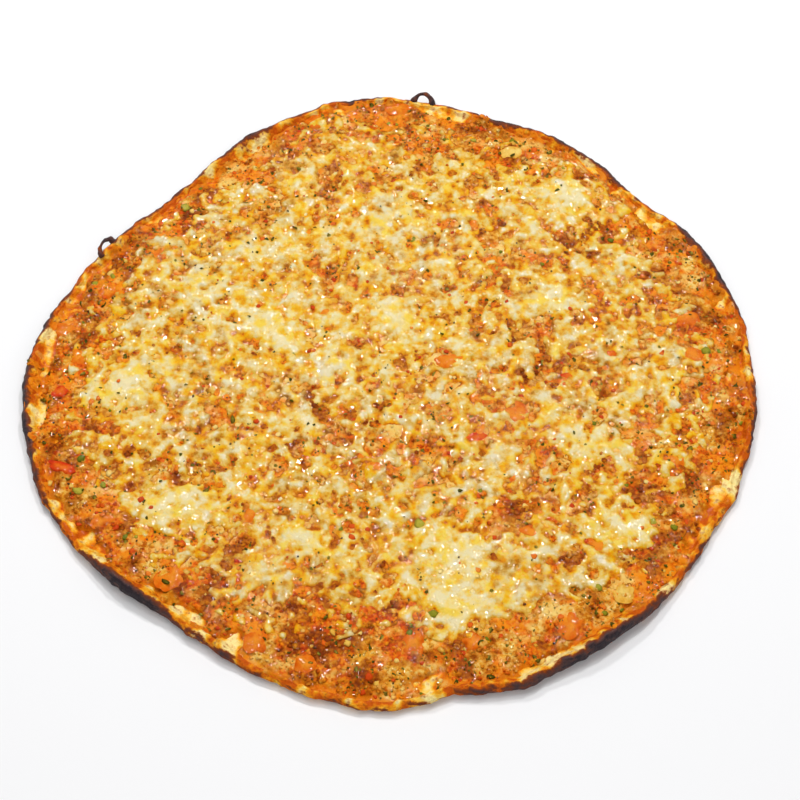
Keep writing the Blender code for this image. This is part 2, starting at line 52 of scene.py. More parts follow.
# The dough's outline and rim, as the solids have them: angle, half-width and depth or height of each dent.
DOUGH_RADIUS = 150.8
EDGE_DENTS = (
    (135, 22, 19.5), (113, 12, 3.0), (162, 15, 6.5), (22, 8, 2.5), (66, 20, 9.0), (39, 10, 8.5),
    (236, 19, 9.0), (280, 4, 3.5), (328, 13, 2.0),
)
EDGE_RAGGEDNESS = 0.9
DOUGH_THICKNESS = 2.8
RIM_HEIGHT = 4.4
RIM_WIDTH = 4.8
RIM_BLISTERS = (
    (22, 9, 3.2), (64, 10, 3.4), (119, 10, 4.2), (152, 6, 1.8), (189, 15, 3.0), (226, 9, 4.6),
    (243, 5, 2.0), (286, 6, 1.8), (304, 11, 4.8), (352, 8, 1.6),
)
UNDERSIDE_LIFT = 1.1
FLAT_INSET = 24
CREST_INSET = 2.6
SHOULDER_SHARE = 0.66  # where the shoulder lies across the rim's width
# How burnt the rim is: angle, half-width and strength.
RIM_CHAR = (
    (95, 6, 0.6), (119, 12, 1.0), (145, 14, 0.6), (170, 8, 0.5), (191, 14, 0.9), (226, 10, 1.1),
    (246, 6, 0.4), (288, 7, 0.6), (304, 11, 1.0), (325, 5, 0.3), (352, 9, 0.4), (22, 9, 1.3),
    (45, 8, 0.6), (64, 12, 1.1),
)

# The mince, as the solids have it.
TOPPING_BOTTOM = DOUGH_THICKNESS + GAP
TOPPING_THICKNESS = 1.9
TOPPING_EDGE_THICKNESS = 1.0
TOPPING_EDGE_RUN = 7
TOPPING_LUMP_HEIGHT = 0.55
# Places near the rim where the dough shows: x, y, half-length, half-width and turn.
DOUGH_WINDOWS = (
    (-133, 26, 7, 3, 20), (-141, 4, 3, 9, 0), (-141, -22, 3, 9, 0), (-133, -38, 3, 4, 0),
    (-117, -82, 8, 5, 140), (-93, -103, 6, 3, 140), (-73, -114, 7, 3, 150), (-56, -122, 4, 5, 0),
    (16, -138, 7, 4, 20), (63, -132, 12, 3, 20), (128, -62, 3, 6, 0), (136, 30, 3, 7, 20),
    (139, -8, 3, 8, 0), (112, 73, 4, 7, 40), (88, 113, 8, 3, 140), (-62, 118, 9, 4, 35),
    (-92, 95, 6, 3, 40), (-105, 78, 5, 3, 40), (-122, 50, 4, 5, 30), (30, 138, 7, 3, 0),
    (-22, 138, 4, 3, 0),
)

# The cheese, as the solids have it.
CHEESE_RADIUS = 121
CHEESE_EDGE_RUN = 11
CHEESE_LOBES = (
    (2, 9, 8), (45, 13, 9), (103, 6, 12), (196, 14, 4), (270, 9, -11), (318, 22, 12),
)
BARE_PATCHES = (
    (-14, -66, 15, 8, 75), (57, -5, 17, 9, 0), (52, 50, 12, 9, 20), (-35, -17, 15, 8, 5),
    (-8, -33, 13, 8, 160), (18, -42, 10, 7, 30), (61, 18, 14, 6, 10), (80, 64, 10, 8, 0),
    (-24, 50, 9, 8, 0), (17, 42, 11, 7, 10), (0, 96, 8, 9, 0), (-57, 76, 9, 8, 20), (47, -71, 16, 8, 5),
    (103, -58, 14, 8, 0), (62, -44, 11, 8, 60), (-20, -103, 11, 10, 0), (-60, -83, 12, 7, 20),
    (-61, -29, 9, 8, 0), (92, 31, 11, 7, 0), (-97, -42, 8, 7, 0), (-64, 10, 8, 6, 0),
    (40, 100, 9, 7, 30), (-70, 105, 9, 8, 50),
)
CHEESE_BLOBS = (
    (-80, 42, 9, 12, 10), (4, 21, 10, 9, 0), (25, -112, 12, 9, 20), (29, -86, 15, 10, 0),
    (71, 32, 8, 7, 0), (-21, -3, 12, 7, 10), (79, 88, 9, 12, 0), (2, 74, 13, 10, 0), (117, -15, 8, 8, 0),
    (-108, -6, 12, 16, 0), (-76, -64, 14, 8, 20), (-30, -82, 12, 9, 0), (80, -36, 12, 7, 0),
    (93, -76, 11, 8, 0), (-52, 20, 14, 8, 160),
)
# Where the cheese lies thick, where it is a thin film over the mince, and where the mince is baked brown.
THICK_PLACES = (
    (27, -112, 12, 11, 0), (52, -105, 11, 9, 0), (-51, 54, 13, 9, 0), (-103, 46, 7, 9, 0),
    (-41, 114, 8, 7, 0), (39, 104, 9, 7, 0), (-62, 14, 9, 7, 0), (-97, -37, 8, 7, 0),
    (-11, -31, 9, 6, 0),
)
THIN_PLACES = (
    (86, -67, 13, 9, 0), (86, -32, 12, 8, 0), (108, -37, 9, 8, 0), (84, -5, 9, 7, 0), (66, -53, 8, 7, 0),
    (41, -77, 9, 8, 0), (-40, -46, 11, 8, 0), (-73, -56, 8, 7, 0), (-87, 71, 9, 9, 0),
)
BROWNED_MINCE = (
    (-121, -41, 9, 12, 0), (-127, 4, 8, 13, 0), (-88, 77, 9, 8, 0), (-78, -101, 9, 8, 0),
    (-26, -125, 9, 7, 0), (-1, -119, 13, 12, 0), (48, -73, 8, 7, 0), (114, -46, 10, 9, 0),
    (126, 21, 7, 9, 0), (52, 116, 10, 8, 0),
)
# Shreds of cheese, and the raster on which they are summed.
SHRED_COUNT = 3000
SHRED_LENGTH = (4, 11)
SHRED_HALF_WIDTH = (0.9, 1.6)
SHRED_REACH = 138
SHRED_FADE = 4
SHRED_SEED = 41
RASTER_HALF = 150
RASTER_STEP = 0.4

# Vegetables, as the solids have them: x, y, length, width and turn, by kind.
VEGETABLE_PLACES = {
    "tomato": (
        (-34, 136, 10, 9, 20), (4, 139, 12, 8, 0), (-119, 36, 10, 8, 40), (-137, 17, 12, 8, 10),
        (-128, 3, 9, 10, 0), (-111, -74, 10, 6, 20), (-84, -101, 15, 10, 30), (-49, -125, 10, 9, 0),
        (-30, -134, 9, 8, 0), (10, -126, 9, 9, 0), (32, -125, 8, 8, 45), (69, -119, 13, 9, 60),
        (55, -79, 10, 6, 0), (81, -85, 9, 8, 0), (124, 24, 15, 9, -30), (126, 4, 10, 8, 0),
        (114, -47, 16, 8, 0), (52, -25, 13, 12, 30), (25, 1, 17, 8, 3), (-4, -50, 9, 6, -20),
        (-27, 26, 11, 6, 10), (-54, -71, 9, 6, 80),
    ),
    "red_pepper": (
        (35, -36, 14, 5, 12), (92, 4, 8, 7, 0), (-134, -14, 8, 6, 10), (-134, -52, 12, 5, -20),
        (74, -6, 8, 5, 0),
    ),
    "onion": (
        (-29, 120, 8, 7, 0), (55, 114, 14, 8, 0), (-60, -29, 9, 7, 40), (95, -112, 9, 8, 0),
    ),
}
VEGETABLES = [(kind, *place) for kind, places in VEGETABLE_PLACES.items() for place in places]
VEGETABLE_SIDES = 8
VEGETABLE_BOTTOM = TOPPING_BOTTOM + 1.1
VEGETABLE_THICKNESS = {"tomato": 2.7, "red_pepper": 2.4, "onion": 2.2}
SOCKET_GAP = 0.4
RIM_OVERHANG = 1.0

# Loops of burnt crust on the edge: angle, span, rise, lean and thickness.
BURNT_CURLS = (
    (84, 9, 4.8, 45, 1.8),
    (154, 9, 3.6, 35, 1.8),
)

# The mince: size and seed of its crumbs, how far in from the edge it starts, and over how far it sets in.
MINCE_GRAINS = (2.6, 64)
MINCE_START = 4.3
MINCE_RUN = 3.0

# Meshes: rings of the discs, steps round and across the rim, and how many places are tried for each bit.
MINCE_RINGS = 178
CHEESE_RINGS = 178
RIM_SIDES = 1000
RIM_STEPS = (4, 4, 4, 3, 4, 4, 4, 5, 11, 9)
TRIES = 8

# The camera.
CAMERA_TARGET = (4.7, -13.6, 0)
CAMERA_ELEVATION = 57.4
CAMERA_DISTANCE = 697
SENSOR_WIDTH = 36
LENS = 76.5

# The floor and the lights, in metres and watts: each light's name, place, size and power.
FLOOR_HALF = 2
LIGHTS = (
    ("back_left", (-0.25, 0.62, 1.0), 0.1, 3.8),
    ("back_right", (0.3, 0.5, 1.1), 0.1, 4.0),
    ("overhead", (0.02, 0.2, 1.3), 0.5, 3.4),
    ("key", (-0.45, -0.15, 1.1), 0.7, 2.2),
    ("fill", (0.5, -0.9, 0.9), 1.2, 4.2),
)
GLINT_LAMP = 0.3  # lamps smaller than this glint in the oil, and the broad ones only fill
SKY_STRENGTH = 0.25


def lattice(column, row, seed):
    """A repeatable value from -1 to 1 for each whole-numbered place of a lattice."""
    mixed = column.astype(np.int64) * 374761393 + row.astype(np.int64) * 668265263 + seed * 974634777
    mixed = (mixed ^ (mixed >> 13)) & 0x7FFFFFFF
    mixed = (mixed * 1274126177) & 0x7FFFFFFF
    mixed = mixed ^ (mixed >> 16)
    return (mixed & 0xFFFF) / 32767.5 - 1.0


def eased(t):
    """A cubic ease from 0 to 1, level at both ends."""
    return t * t * (3 - 2 * t)


def polar(out, angle):
    """The x and y of a point that lies `out` from the middle at an angle in radians."""
    return out * np.cos(angle), out * np.sin(angle)


def turned(x, y, angle):
    """How far a point lies along and aside of a direction at an angle in radians."""
    c = np.cos(angle)
    s = np.sin(angle)
    return x * c + y * s, y * c - x * s


def lumps(x, y, size, seed):
    """Smooth noise from -1 to 1: lattice values `size` apart, blended by a cubic ease between places."""
    u = np.asarray(x) / size + 1000.0
    v = np.asarray(y) / size + 1000.0
    column = np.floor(u)
    row = np.floor(v)
    a = eased(u - column)
    b = eased(v - row)
    near = lattice(column, row, seed) * (1 - a) + lattice(column + 1, row, seed) * a
    far = lattice(column, row + 1, seed) * (1 - a) + lattice(column + 1, row + 1, seed) * a
    return near * (1 - b) + far * b


def layered(x, y, *layers):
    """A sum of smooth noises, each with its weight, size and seed."""
    total = 0.0
    for weight, size, seed in layers:
        total = total + weight * lumps(x, y, size, seed)
    return total


def grains(x, y, size, seed):
    """Packed grains, one in each square of a grid, with its middle jittered by up to 0.4 of a square: how far
    inside the nearest grain a point is, from 0 to 1, and that grain's own value from 0 to 1."""
    u = x / size + 1000.0
    v = y / size + 1000.0
    column = np.floor(u)
    row = np.floor(v)
    best = np.full(u.shape, 9.0)
    value = np.zeros(u.shape)
    for step_u in (-1, 0, 1):
        for step_v in (-1, 0, 1):
            a = column + step_u
            b = row + step_v
            across = u - a - 0.5 - 0.4 * lattice(a, b, seed)
            up = v - b - 0.5 - 0.4 * lattice(a, b, seed + 1)
            own = lattice(a, b, seed + 2)
            far = (across**2 + up**2) / (0.62 + 0.2 * own) ** 2
            nearer = far < best
            best = np.where(nearer, far, best)
            value = np.where(nearer, 0.5 + 0.5 * own, value)
    return np.clip(1 - best, 0, 1), value


def bumps_at(angle, table):
    """The sum of the table's bell-shaped bumps at an angle in radians."""
    total = 0.0 * np.asarray(angle)
    for middle, half_width, height in table:
        away = (np.degrees(angle) - middle + 180) % 360 - 180
        total = total + height * np.exp(-((away / half_width) ** 2))
    return total


def patches_at(x, y, table):
    """The sum of the table's oval bell-shaped patches at a point."""
    total = 0.0 * np.asarray(x)
    for middle_x, middle_y, half_length, half_width, turn in table:
        along, aside = turned(x - middle_x, y - middle_y, math.radians(turn))
        total = total + np.exp(-((along / half_length) ** 2 + (aside / half_width) ** 2))
    return total


def edge_radius(angle):
    """The distance from the middle to the bread's edge."""
    ragged = EDGE_RAGGEDNESS * lumps(*polar(DOUGH_RADIUS, angle), 13, 3)
    return DOUGH_RADIUS - bumps_at(angle, EDGE_DENTS) + ragged


def rim_crest(angle):
    """The height of the rim's crest."""
    return RIM_HEIGHT + bumps_at(angle, RIM_BLISTERS) + 0.45 * lumps(*polar(DOUGH_RADIUS, angle), 16, 5)


def rim_width(angle):
    """How far in from the edge the topping starts: further where the rim is blistered."""
    return RIM_WIDTH + 0.9 * bumps_at(angle, RIM_BLISTERS)


def dough_face(angle, inset):
    """The height of the dough's upper face: level, up over the shoulder to the crest, then down again."""
    crest = rim_crest(angle)
    width = rim_width(angle)
    shoulder = DOUGH_THICKNESS + 0.5 * (crest - DOUGH_THICKNESS)
    up_shoulder = np.clip((width - inset) / ((1 - SHOULDER_SHARE) * width), 0, 1)
    up_crest = np.clip((SHOULDER_SHARE * width - inset) / (SHOULDER_SHARE * width - CREST_INSET), 0, 1)
    over = np.clip((CREST_INSET - inset) / 1.7, 0, 1)
    height = DOUGH_THICKNESS + (shoulder - DOUGH_THICKNESS) * up_shoulder + (crest - shoulder) * up_crest
    return height - 0.16 * (crest - UNDERSIDE_LIFT) * over**2


def topping_radius(angle):
    """The distance from the middle to the topping's edge."""
    return edge_radius(angle) - rim_width(angle) - 0.8


def topping_height(x, y):
    """The height of the topping's upper face: it thins at the edge and is lumpy all over."""
    angle = np.arctan2(y, x)
    inset = topping_radius(angle) - np.hypot(x, y)
    run = np.clip(inset / TOPPING_EDGE_RUN, 0, 1)
    thickness = TOPPING_EDGE_THICKNESS + (TOPPING_THICKNESS - TOPPING_EDGE_THICKNESS) * run * (2 - run)
    lumpy = layered(x, y, (0.6, 14, 11), (0.6, 8, 12))
    return TOPPING_BOTTOM + thickness + TOPPING_LUMP_HEIGHT * lumpy * run


def veg_share(x, y):
    """How far into the nearest vegetable a point is: 1 in its middle, 0 on its outline, below 0 outside."""
    nearest = np.full(np.shape(x), -9.0)
    for _, middle_x, middle_y, length, width, turn in VEGETABLES:
        along, aside = turned(x - middle_x, y - middle_y, math.radians(turn))
        out = np.abs(along / (length / 2)) ** 3 + np.abs(aside / (width / 2)) ** 3
        nearest = np.maximum(nearest, 1 - out ** (1 / 3))
    return nearest


def bank(x, y):
    """How much the topping is banked up against the vegetables: most at their outline."""
    away = veg_share(x, y)
    return 0.95 * np.exp(-((away / 0.55) ** 2)) * (0.8 + 0.5 * lumps(x, y, 3, 80))


def cheese_cover(x, y):
    """Above 0 where cheese lies: the sheet's ragged round, less its bare patches, plus its pools."""
    reach = CHEESE_RADIUS + bumps_at(np.arctan2(y, x), CHEESE_LOBES) + 5 * lumps(x, y, 22, 21)
    inside = np.clip((reach - np.hypot(x, y)) / CHEESE_EDGE_RUN, -1.5, 1)
    ragged = layered(x, y, (0.34, 17, 22), (0.26, 9, 23))
    return inside + ragged - 2.3 * patches_at(x, y, BARE_PATCHES) + 0.5 * patches_at(x, y, CHEESE_BLOBS)


def raster_of_shreds():
    """Melted shreds seen from above, as a square raster: the sum over all shreds of a bell across each one.

    A shred's middle line is a parabola, and past its ends the distance is to the end.
    """
    draw = np.random.default_rng(SHRED_SEED)
    size = int(2 * RASTER_HALF / RASTER_STEP) + 1
    raster = np.zeros((size, size))
    ticks = np.arange(size) * RASTER_STEP - RASTER_HALF
    out = SHRED_REACH * np.sqrt(draw.uniform(0, 1, SHRED_COUNT))
    angle = draw.uniform(0, 2 * np.pi, SHRED_COUNT)
    turn = draw.uniform(0, np.pi, SHRED_COUNT)
    length = draw.uniform(*SHRED_LENGTH, SHRED_COUNT)
    half_width = draw.uniform(*SHRED_HALF_WIDTH, SHRED_COUNT)
    bend = draw.normal(0, 0.02, SHRED_COUNT)
    for n in range(SHRED_COUNT):
        x, y = polar(out[n], angle[n])
        room = length[n] / 2 + SHRED_FADE
        left, right = np.searchsorted(ticks, (x - room, x + room))
        low, high = np.searchsorted(ticks, (y - room, y + room))
        along, aside = turned(ticks[None, left:right] - x, ticks[low:high, None] - y, turn[n])
        aside = aside - bend[n] * along**2
        past = np.maximum(np.abs(along) - length[n] / 2, 0)
        raster[low:high, left:right] += np.exp(-(past**2 + aside**2) / half_width[n] ** 2)
    return raster


def sampled(raster, x, y):
    """The raster's value at points, blended between its four nearest cells."""
    u = np.clip((np.asarray(x) + RASTER_HALF) / RASTER_STEP, 0, raster.shape[1] - 1.001)
    v = np.clip((np.asarray(y) + RASTER_HALF) / RASTER_STEP, 0, raster.shape[0] - 1.001)
    column = u.astype(int)
    row = v.astype(int)
    a = u - column
    b = v - row
    near = raster[row, column] * (1 - a) + raster[row, column + 1] * a
    far = raster[row + 1, column] * (1 - a) + raster[row + 1, column + 1] * a
    return near * (1 - b) + far * b


SHREDS = raster_of_shreds()


def mince_cover(x, y, inset):
    """Above 0 where mince lies: from a few mm inside the edge, ragged, and not where the dough shows."""
    start = MINCE_START + layered(x, y, (1.6, 19, 60), (1.3, 7, 61))
    ragged = layered(x, y, (0.9, 5, 62), (0.6, 2.6, 63))
    return (inset - start) / MINCE_RUN + ragged - 2.6 * patches_at(x, y, DOUGH_WINDOWS)


def mince_surface(x, y):
    """The mince's height, its tone and its cover. The height is the topping's face, roughened by packed
    crumbs and noise, up over the rim's shoulder in places, and under the dough where that shows. The tone
    differs from crumb to crumb and is darker where the mince is browned; it is also lighter where the crumbs
    and the noise stand high and darker in the hollows, which is painted light and shade."""
    angle = np.arctan2(y, x)
    inset = edge_radius(angle) - np.hypot(x, y)
    cover = mince_cover(x, y, inset)
    crumb, crumb_value = grains(x, y, *MINCE_GRAINS)
    rough = layered(x, y, (0.2, 2.2, 67), (0.14, 1.4, 68))
    dough = dough_face(angle, inset)
    face = np.maximum(topping_height(x, y) - 0.2 + bank(x, y), dough + 0.8)
    face = face + 0.65 * np.sqrt(crumb) * crumb_value**1.5 + rough
    edge = np.sqrt(np.clip(cover, 0, 1))
    floor = dough - 0.55
    height = floor + (face - floor) * edge - 0.3 * np.clip(-cover, 0, 1)
    browned = 0.55 * np.clip(patches_at(x, y, BROWNED_MINCE), 0, 1)
    # Painted light and shade: the tone rises with the relief noise that raises the surface, and with each
    # crumb's own value, which also sets how high the crumb stands, so high places are lighter and hollows
    # darker, besides each crumb's own tone.
    tone = np.clip(0.54 + 0.9 * rough + 0.35 * (crumb_value - 0.5) * np.sqrt(crumb) - browned, 0, 1)
    return height, tone, cover


def cheese_surface(x, y):
    """The cheese's height, its thickness over the mince, and how pooled it is: shreds that have run together
    wherever enough of them lie, more in the thick places than in the thin ones, and sunk into the mince
    elsewhere. High crumbs of mince poke through."""
    cover = cheese_cover(x, y)
    pooled = np.clip(patches_at(x, y, CHEESE_BLOBS), 0, 1)
    broken = layered(x, y, (0.42, 5.2, 71), (0.5, 2.9, 72), (0.34, 1.7, 73))
    spread = 0.75 * patches_at(x, y, BARE_PATCHES) + 0.9 * patches_at(x, y, THICK_PLACES)
    spread = spread - 0.9 * patches_at(x, y, THIN_PLACES)
    plenty = 0.6 * sampled(SHREDS, x, y) + broken - 0.45 + 0.68 * (cover - 0.5) + 0.2 * pooled + spread
    risen = 0.62 * (1 - np.exp(-1.5 * np.clip(plenty, 0, 9))) + 0.16 * np.clip(plenty, 0, 3)
    sunk = 0.95 * (1 - np.exp(1.6 * np.clip(plenty, -9, 0)))
    crumb, crumb_value = grains(x, y, *MINCE_GRAINS)
    poking = np.sqrt(crumb) * crumb_value
    thickness = risen * (1 + 0.4 * pooled) - sunk - 0.36 * poking * (1 - 0.5 * pooled) + 0.12
    drape = layered(x, y, (0.12, 2.4, 75), (0.09, 1.4, 76))
    ground = topping_height(x, y) + 0.04 + bank(x, y) + 0.5 * poking
    return ground + thickness + drape, thickness, pooled


def top_surface(x, y):
    """The height of whatever is uppermost, and the cheese's height over the mince."""
    mince, _, cover = mince_surface(x, y)
    cheese, _, _ = cheese_surface(x, y)
    over = np.where(np.hypot(x, y) < CHEESE_RADIUS + 8, cheese - mince, -1.0)
    angle = np.arctan2(y, x)
    dough = dough_face(angle, edge_radius(angle) - np.hypot(x, y))
    topping = np.maximum(np.maximum(mince, dough), np.where(over > 0, cheese, 0))
    flesh = np.where(veg_share(x, y) > 0.12, VEGETABLE_BOTTOM + 2.1, 0)
    return np.maximum(topping, flesh), over, cover


def disc(radius_at, rings):
    """Points and triangles that fill an outline: ring k has 6k points, at k/rings of the radius, and each of
    its six sectors is a strip of near-equal triangles."""
    xs = [np.zeros(1)]
    ys = [np.zeros(1)]
    strips = []
    first = 0
    count = 1
    for ring in range(1, rings + 1):
        angle = np.arange(6 * ring) * 2 * np.pi / (6 * ring)
        x, y = polar(radius_at(angle) * ring / rings, angle)
        xs.append(x)
        ys.append(y)
        sector = np.repeat(np.arange(6), ring)
        step = np.tile(np.arange(ring), 6)
        inner = max(6 * (ring - 1), 1)
        a = count + (sector * ring + step) % (6 * ring)
        b = count + (sector * ring + step + 1) % (6 * ring)
        c = first + (sector * (ring - 1) + step) % inner
        strips.append(np.stack([a, b, c], axis=1))
        within = step < ring - 1
        d = first + (sector * (ring - 1) + step + 1) % inner
        strips.append(np.stack([b, d, c], axis=1)[within])
        first = count
        count += 6 * ring
    return np.concatenate(xs), np.concatenate(ys), np.concatenate(strips)


def closed_below(x, y, z, triangles, rings, floor):
    """Closes a disc: its outer ring goes down to the floor, and a fan closes the floor."""
    outer = 6 * rings
    count = len(x)
    edge = np.arange(count - outer, count)
    x = np.concatenate([x, x[edge], [0]])
    y = np.concatenate([y, y[edge], [0]])
    z = np.concatenate([z, np.full(outer + 1, floor)])
    i = np.arange(outer)
    j = (i + 1) % outer
    upper = np.stack([edge[j], edge[i], count + i], axis=1)
    lower = np.stack([edge[j], count + i, count + j], axis=1)
    fan = np.stack([count + j, count + i, np.full(outer, count + outer)], axis=1)
    return np.stack([x, y, z], axis=1), np.concatenate([triangles, upper, lower, fan])


def tube(x, y, z, ends):
    """Points and triangles of a stack of rings, each a row of x, y and z: a strip between each ring and the
    next, and a fan from the first and the last ring to the two end points."""
    rings, sides = x.shape
    points = np.concatenate([np.stack([x, y, z], axis=2).reshape(-1, 3), ends])
    i = np.arange(sides)
    j = (i + 1) % sides
    base = np.arange(rings - 1)[:, None] * sides
    last = (rings - 1) * sides
    parts = (
        np.stack([base + i, base + j, base + sides + j], axis=2).reshape(-1, 3),
        np.stack([base + i, base + sides + j, base + sides + i], axis=2).reshape(-1, 3),
        np.stack([j, i, np.full(sides, rings * sides)], axis=1),
        np.stack([last + i, last + j, np.full(sides, rings * sides + 1)], axis=1),
    )
    return points, np.concatenate(parts)


def new_object(name, data):
    """An object in the scene for a mesh, a lamp or a camera."""
    made = bpy.data.objects.new(name, data)
    bpy.context.scene.collection.objects.link(made)
    return made


def new_piece(name, points, faces, attributes):
    """A mesh piece from an array of points in mm and one of faces, with its attributes, shaded smooth. Points
    after the attribute's last value have 0."""
    points = (np.asarray(points, float) + (0, SHIFT_Y, 0)) * MM
    faces = np.asarray(faces)
    mesh = bpy.data.meshes.new(name)
    mesh.vertices.add(len(points))
    mesh.vertices.foreach_set("co", points.astype(np.float32).ravel())
    mesh.loops.add(faces.size)
    mesh.loops.foreach_set("vertex_index", faces.astype(np.int32).ravel())
    mesh.polygons.add(len(faces))
    mesh.polygons.foreach_set("loop_start", np.arange(0, faces.size, faces.shape[1], dtype=np.int32))
    mesh.update(calc_edges=True)
    for attribute, values in attributes.items():
        layer = mesh.attributes.new(attribute, "FLOAT", "POINT")
        filled = np.zeros(len(points), np.float32)
        filled[: len(values)] = values
        layer.data.foreach_set("value", filled)
    mesh.shade_smooth()
    return new_object(name, mesh)


def dress(piece, material, slot, *nodes):
    """Gives a piece its material, hides the nodes that it stands for, and lets it ride on the body. Its slot
    is not used.
    """
    piece.data.materials.append(material)
    if nodes:
        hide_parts(*nodes)
    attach(piece, "root")


def make_flatbread():
    """The dough: profile rings from the underside's flat, out over the edge and in to the middle, joined by
    a smooth curve through them and carried round the outline, so a point is a function of the angle and the
    place across. `char` is how burnt a point is, and `pale` how creamy."""
    angle = np.arange(RIM_SIDES) * 2 * np.pi / RIM_SIDES
    rim_x, rim_y = polar(DOUGH_RADIUS, angle)
    edge = edge_radius(angle)
    ragged = layered(rim_x, rim_y, (0.55, 10, 45), (0.22, 4.6, 51), (0.35, 2.1, 52))
    crest = rim_crest(angle) + 0.35 * lumps(rim_x, rim_y, 5, 53)
    width = rim_width(angle)
    lift = UNDERSIDE_LIFT * (1 + 0.6 * lumps(*polar(edge, angle), 40, 8))
    wall = crest - lift
    shoulder = DOUGH_THICKNESS + 0.5 * (crest - DOUGH_THICKNESS)
    profile = (
        (FLAT_INSET + 60, 0),
        (FLAT_INSET, 0),
        (9, 0.45 * lift),
        (CREST_INSET, lift),
        (0.7, lift + 0.22 * wall),
        (0, lift + 0.50 * wall),
        (0.9, lift + 0.84 * wall),
        (CREST_INSET, crest),
        (SHOULDER_SHARE * width, shoulder),
        (width, DOUGH_THICKNESS),
        (width + 9, DOUGH_THICKNESS),
        (width + 22, DOUGH_THICKNESS),
        (width + 60, DOUGH_THICKNESS),
    )
    knots = np.array([np.broadcast_arrays(inset, height, angle)[:2] for inset, height in profile])
    rows = []
    spots = []
    for k, steps in enumerate(RIM_STEPS, 1):
        before, start, end, after = knots[k - 1 : k + 3, None]
        t = np.arange(steps)[:, None, None] / steps
        curve = 2 * start + (end - before) * t + (2 * before - 5 * start + 4 * end - after) * t**2
        rows.append(0.5 * (curve + (3 * start - before - 3 * end + after) * t**3))
        spots.append(k + t[..., 0])
    inset, height = np.moveaxis(np.concatenate(rows), 1, 0)
    spots = np.concatenate(spots)
    x, y = polar(edge + ragged - inset, angle)
    upper = np.clip((spots - 5.5) / 1.5, 0, 1)
    bubble = layered(x, y, (0.4, 8, 54), (0.45, 3.8, 55), (0.3, 1.9, 50))
    height = np.maximum(height + 0.75 * bubble * upper, 0)
    side = np.clip(1 - np.abs(spots - 5) / 2, 0, 1)
    dent = 0.3 * lumps(rim_x + 9 * height, rim_y, 3, 56) * side
    x = x + dent * np.cos(angle)
    y = y + dent * np.sin(angle)
    under = np.clip((5.0 - spots) / 1.2, 0, 1)
    burnt = bumps_at(angle, RIM_CHAR)
    reach = 0.9 + 2.1 * burnt + 1.3 * lumps(rim_x, rim_y, 6, 57)
    outside = np.clip(1.2 - np.clip(inset - 0.3, 0, 99) / np.maximum(reach, 0.5), 0, 1)
    patchy = 0.3 * lumps(x, y, 6, 58) + 0.3 * lumps(x + 5 * height, y, 2.6, 49)
    char = outside * np.clip(0.12 + 0.95 * burnt + patchy, 0, 1.2)
    browned = 0.22 + layered(x, y, (0.3, 9, 59), (0.25, 4, 48))
    char = char * (1 - under) + under * (browned + 0.5 * burnt * np.clip(1 - inset / 8, 0, 1))
    lace = np.clip(1 - 3.2 * np.abs(lumps(x, y, 6, 47)), 0, 1)
    pale = 0.45 + 0.85 * bubble + layered(x, y, (0.35, 14, 46), (0.4, 4.5, 44)) + 0.4 * lace
    pale = pale - 0.2 * np.clip(1.6 - inset / 2, 0, 1)
    pale = pale - 0.45 * np.clip(1 + mince_cover(x, y, inset) / 0.7, 0, 1)
    pale = np.clip(pale, 0, 1) * (1 - under) + 0.75 * under
    points, faces = tube(x, y, height, [[0, 0, 0], [0, 0, DOUGH_THICKNESS]])
    return new_piece("baked_flatbread", points, faces, {"char": char.ravel(), "pale": pale.ravel()})


def make_mince():
    """The mince layer: a disc to just past the topping's outline, at the height of the mince's surface.
    `thin` is 1 where the layer runs out."""
    x, y, triangles = disc(lambda angle: edge_radius(angle) - 1.3, MINCE_RINGS)
    height, tone, cover = mince_surface(x, y)
    points, faces = closed_below(x, y, height, triangles, MINCE_RINGS, DOUGH_THICKNESS - 1.2)
    thin = np.clip(1 - 0.9 * cover, 0, 1)
    # The tone holds painted light on high crumbs and painted shade in the hollows between them, as well as
    # the mince's own tone.
    return new_piece("mince_layer", points, faces, {"tone": tone, "thin": thin})


def make_cheese():
    """The cheese sheet: a disc to past the cheese's reach, which dips into the mince wherever no cheese lies.
    `thick` is its thickness, and `grey` how watery it is."""

    def reach(angle):
        widest = CHEESE_RADIUS + bumps_at(angle, CHEESE_LOBES) + 9
        return np.minimum(widest, topping_radius(angle) - 3)

    x, y, triangles = disc(reach, CHEESE_RINGS)
    height, thickness, pooled = cheese_surface(x, y)
    grey = 0.3 + layered(x, y, (0.5, 26, 77), (0.8, 7, 78)) - 0.2 * pooled
    body = np.clip(thickness + 0.25 * pooled * np.clip(thickness * 3, 0, 1), -1, 2)
    points, faces = closed_below(x, y, height, triangles, CHEESE_RINGS, TOPPING_BOTTOM)
    return new_piece("cheese_melt", points, faces, {"thick": body, "grey": np.clip(grey, 0, 1)})


def placed_vegetables():
    """The vegetables, those near the rim moved in until they reach no further than over its foot."""
    placed = []
    for number, (kind, x, y, length, width, turn) in enumerate(VEGETABLES):
        across, up = vegetable_outline(number, length, width, turn, VEGETABLE_SIDES, SOCKET_GAP)
        corner_x = x + across
        corner_y = y + up
        past = np.hypot(corner_x, corner_y) - topping_radius(np.arctan2(corner_y, corner_x)) - RIM_OVERHANG
        share = 1 - max(float(past.max()), 0) / math.hypot(x, y)
        placed.append((kind, x * share, y * share, length, width, turn))
    return placed


